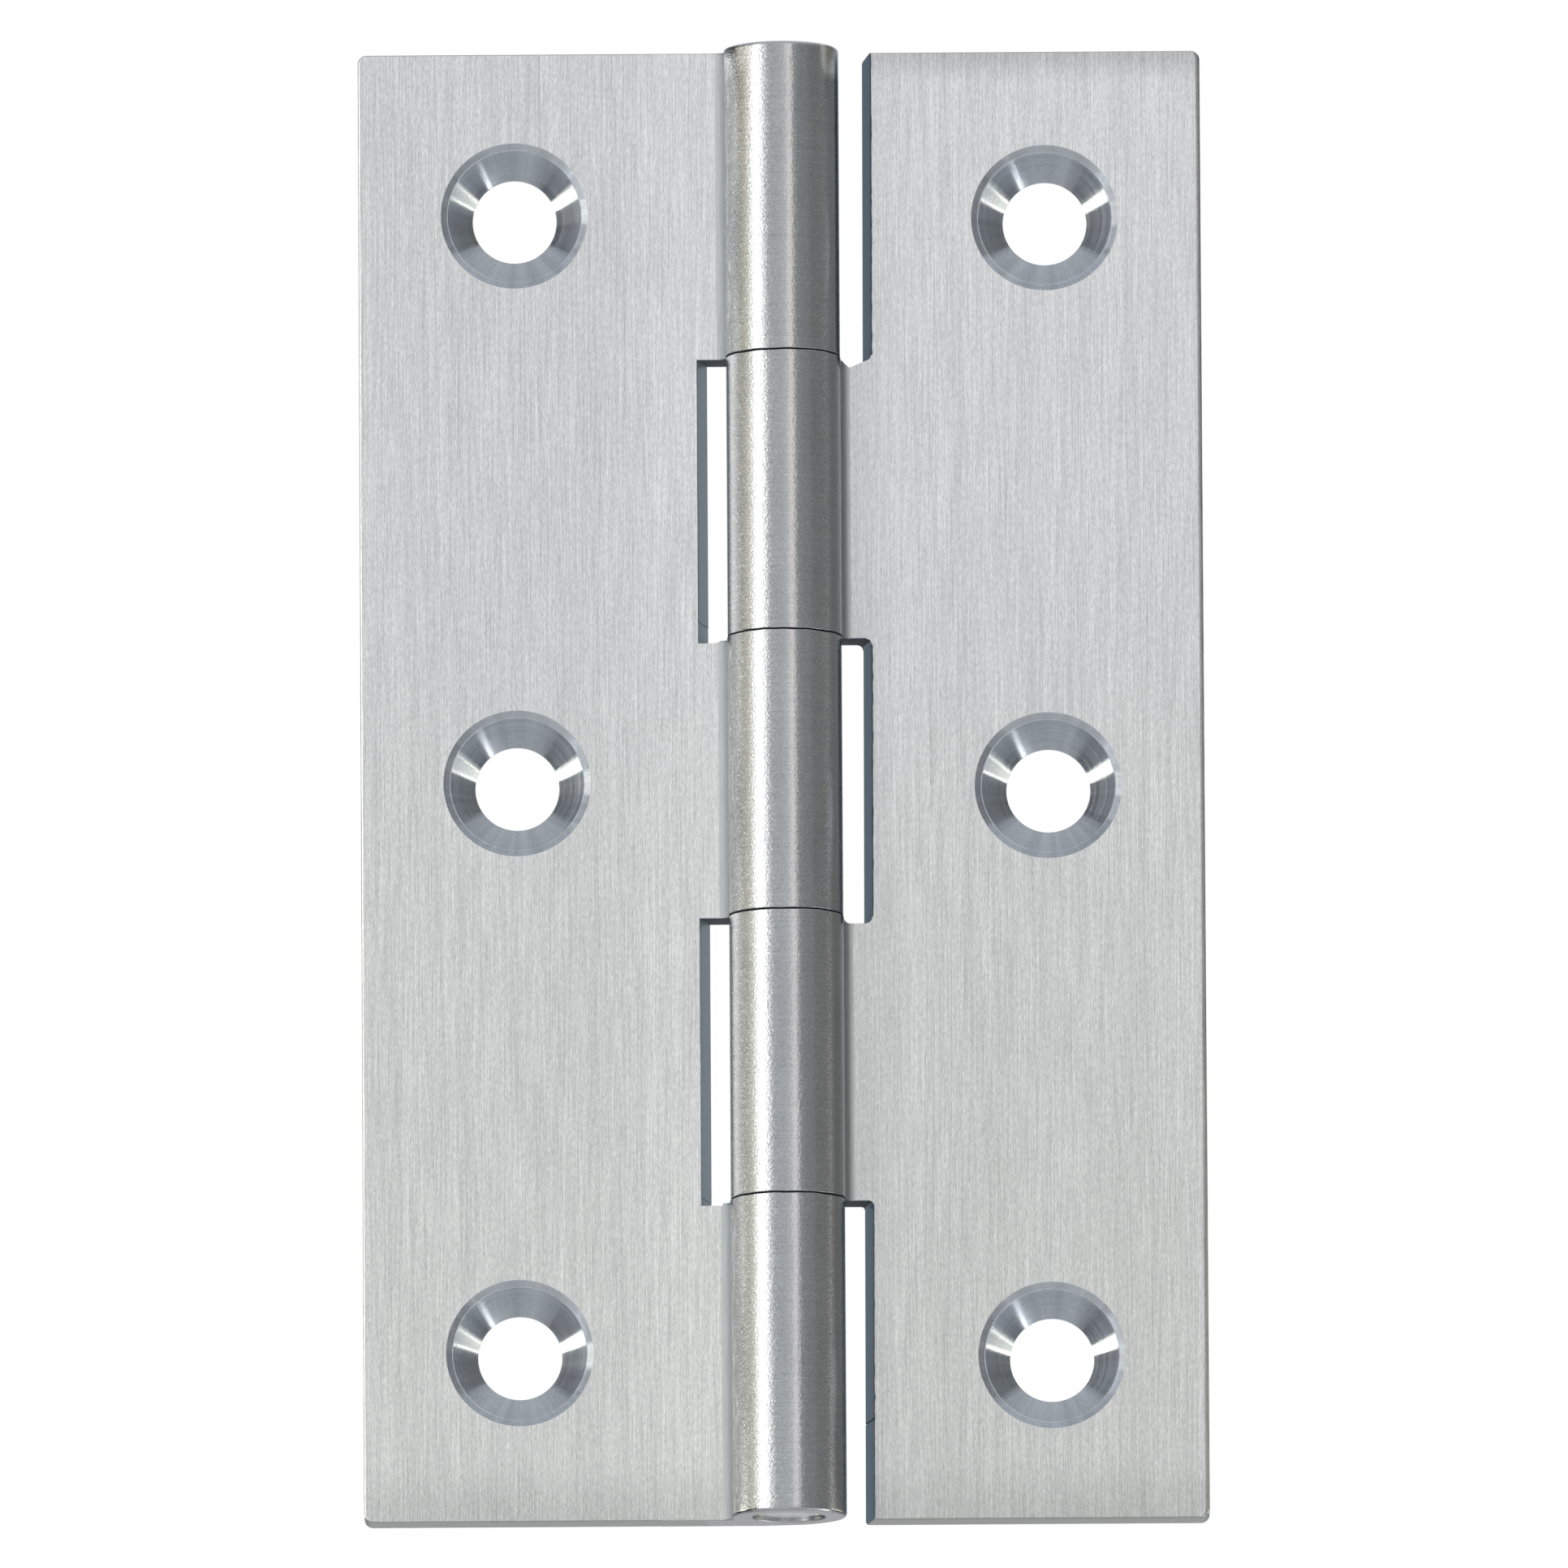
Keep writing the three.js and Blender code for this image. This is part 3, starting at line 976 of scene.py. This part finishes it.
def finish_leaf(obj, leaf):
    """Gives every polygon its finish."""
    for material in FINISHES:
        obj.data.materials.append(material)
    for polygon in obj.data.polygons:
        polygon.material_index = leaf_finish(leaf, polygon.center / MM, polygon.normal)


# ---------------------------------------------------------------- build
three_leaf = make_leaf(THREE_LEAF)
two_leaf = make_leaf(TWO_LEAF)
pin = make_pin()
finish_leaf(three_leaf, THREE_LEAF)
finish_leaf(two_leaf, TWO_LEAF)
pin.data.materials.append(ground_end("ground_pin", dark=(0.6, 0.61, 0.62), light=(0.8, 0.81, 0.81)))
for piece, node, body, slot in (
    (three_leaf, "three_knuckle_leaf", "frame_leaf", "leaf_steel"),
    (two_leaf, "two_knuckle_leaf", "door_leaf", "leaf_steel"),
    (pin, "hinge_pin", "frame_leaf", "pin_steel"),
):
    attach(piece, body)
    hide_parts(node)

# ---------------------------------------------------------------- stage
scene = bpy.context.scene
scene.view_settings.view_transform = "Standard"

world = bpy.data.worlds.new("white_studio")
world.use_nodes = True
world.node_tree.nodes["Background"].inputs["Color"].default_value = (1, 1, 1, 1)
world.node_tree.nodes["Background"].inputs["Strength"].default_value = 1
scene.world = world

TENT_RADIUS = 0.9
BOUNCER_RADIUS = 0.8
LAMP_RADIUS = 0.5
STRIP_RADIUS = 0.36
TENT_STEP = math.radians(3)
NEUTRAL = (1, 1, 1)
WARM = (1, 0.98, 0.84)
COOL = (0.95, 0.98, 1)
PINK = (1, 0.95, 0.94)
BLUE = (0.82, 0.92, 1)

# Each curved sheet of light: name, start and end in degrees from the front (-Y) towards +X, lowest and
# highest elevation in degrees, brightness and colour.
TENT = (
    ("left_rear_cloth", -168, -138, -26, 40, 0.3, BLUE),
    ("left_black_cloth", -138, -64, -26, 40, 0.03, NEUTRAL),
    ("key_light", -64, -42, -24, 34, 2.8, NEUTRAL),
    ("key_edge", -42, -32, -26, 40, 0.95, NEUTRAL),
    ("front_cloth", -32, -2, -26, 40, 0.68, COOL),
    ("front_middle", -2, 11, -26, 40, 0.78, COOL),
    ("front_strip", 11, 21.5, -26, 40, 1.3, PINK),
    ("right_pale_cloth", 21.5, 36, -26, 40, 0.4, COOL),
    ("right_cloth", 36, 56, -26, 40, 0.34, COOL),
    ("right_dark_cloth", 56, 104, -26, 40, 0.26, NEUTRAL),
    ("right_black_cloth", 104, 138, -26, 40, 0.12, WARM),
    ("right_rear_cloth", 138, 168, -26, 40, 0.3, BLUE),
    ("rear_cloth", 168, 192, -26, 40, 0.75, NEUTRAL),
)
BOUNCERS = (
    ("left_bouncer", -98, -80, -2, 18, 1.0, WARM),
    ("key_flank", -80, -64, -2, 18, 1.4, WARM),
)
# Small lights and black flags close to the hinge, low down.
LAMPS = (
    ("left_low_lamp", -125, -95, -14, -2, 8.0, WARM),
    ("left_low_flag", -140, -90, -41, -14, 0.02, NEUTRAL),
    ("right_line_lamp", 96, 130, -4, -2, 7.0, WARM),
    ("right_low_lamp", 92, 132, -16, -4, 1.9, WARM),
    ("right_edge_lamp", 92, 132, -18, -16, 6.0, WARM),
    ("right_low_flag", 90, 140, -41, -18, 0.1, NEUTRAL),
)
STRIPS = (("right_floor_strip", 85, 125, -50, -45, 6.0, NEUTRAL),)
ROOF_HEIGHT = 0.77
ROOF_BRIGHTNESS = 0.68


def glow(name, colour, strength):
    """A plain light-giving surface."""
    material = bpy.data.materials.new(name)
    material.use_nodes = True
    nodes = material.node_tree.nodes
    nodes.clear()
    emission = nodes.new("ShaderNodeEmission")
    emission.inputs["Color"].default_value = (*colour, 1)
    emission.inputs["Strength"].default_value = strength
    output = nodes.new("ShaderNodeOutputMaterial")
    material.node_tree.links.new(emission.outputs["Emission"], output.inputs["Surface"])
    return material


def curved_sheet(radius, name, start, end, low, high, strength, colour):
    """A curved sheet of light standing around the hinge, seen only in reflections."""
    count = max(1, round(math.radians(end - start) / TENT_STEP))
    bm = bmesh.new()
    columns = []
    for step in range(count + 1):
        azimuth = math.radians(start + (end - start) * step / count)
        x = radius * math.sin(azimuth)
        y = -radius * math.cos(azimuth)
        heights = [radius * math.tan(math.radians(elevation)) for elevation in (low, high)]
        columns.append([bm.verts.new((x, y, z)) for z in heights])
    for (left_low, left_high), (right_low, right_high) in zip(columns, columns[1:]):
        bm.faces.new((left_low, left_high, right_high, right_low))
    obj = in_scene(name, mesh_from(bm, name))
    obj.data.materials.append(glow(name, colour, strength))
    obj.visible_camera = False


FLOOR_HEIGHT = -0.45
FLOOR_RADIUS = TENT_RADIUS
DISC_STEPS = 96


def staged_disc(name, radius, height, material):
    """A level disc around the hinge."""
    bm = bmesh.new()
    circle = arc(0, 0, radius, 0, 2 * math.pi, DISC_STEPS)[:-1]
    bm.faces.new([bm.verts.new((x, y, height)) for x, y in circle])
    obj = in_scene(name, mesh_from(bm, name))
    obj.data.materials.append(material)
    return obj


def pale_paint():
    """The floor's matt pale grey."""
    material = bpy.data.materials.new("pale_floor")
    material.use_nodes = True
    shader = material.node_tree.nodes["Principled BSDF"]
    shader.inputs["Base Color"].default_value = (0.82, 0.82, 0.82, 1)
    shader.inputs["Roughness"].default_value = 0.8
    return material


for radius, sheets in (
    (TENT_RADIUS, TENT),
    (BOUNCER_RADIUS, BOUNCERS),
    (LAMP_RADIUS, LAMPS),
    (STRIP_RADIUS, STRIPS),
):
    for sheet in sheets:
        curved_sheet(radius, *sheet)
roof = staged_disc("tent_roof", TENT_RADIUS, ROOF_HEIGHT, glow("tent_roof", COOL, ROOF_BRIGHTNESS))
roof.visible_camera = False
staged_disc("floor", FLOOR_RADIUS, FLOOR_HEIGHT, pale_paint())

# ---------------------------------------------------------------- camera
CAMERA_AZIMUTH = math.radians(0.17)
CAMERA_ELEVATION = math.radians(-8.73)
CAMERA_ROLL = math.radians(-0.335)
CAMERA_DISTANCE = 2.2904
CAMERA_AIM = Vector((-0.0322 * MM, 0, -0.12 * MM))
PICTURE_WIDTH = 1932
SCALE_AT_AIM = 24.0783 / MM


def make_camera():
    """The photograph's viewpoint: nearly square on, a little below the middle, with a slight roll."""
    data = bpy.data.cameras.new("camera")
    camera = bpy.data.objects.new("camera", data)
    scene.collection.objects.link(camera)
    level = math.cos(CAMERA_ELEVATION)
    back = Vector((
        math.sin(CAMERA_AZIMUTH) * level,
        -math.cos(CAMERA_AZIMUTH) * level,
        math.sin(CAMERA_ELEVATION),
    ))
    camera.location = CAMERA_AIM + back * CAMERA_DISTANCE
    turn = back.to_track_quat("Z", "Y").to_matrix() @ Matrix.Rotation(CAMERA_ROLL, 3, "Z")
    camera.rotation_euler = turn.to_euler()
    data.angle = 2 * math.atan(PICTURE_WIDTH / 2 / SCALE_AT_AIM / CAMERA_DISTANCE)
    data.clip_start = 0.05
    data.clip_end = 20
    scene.camera = camera


make_camera()
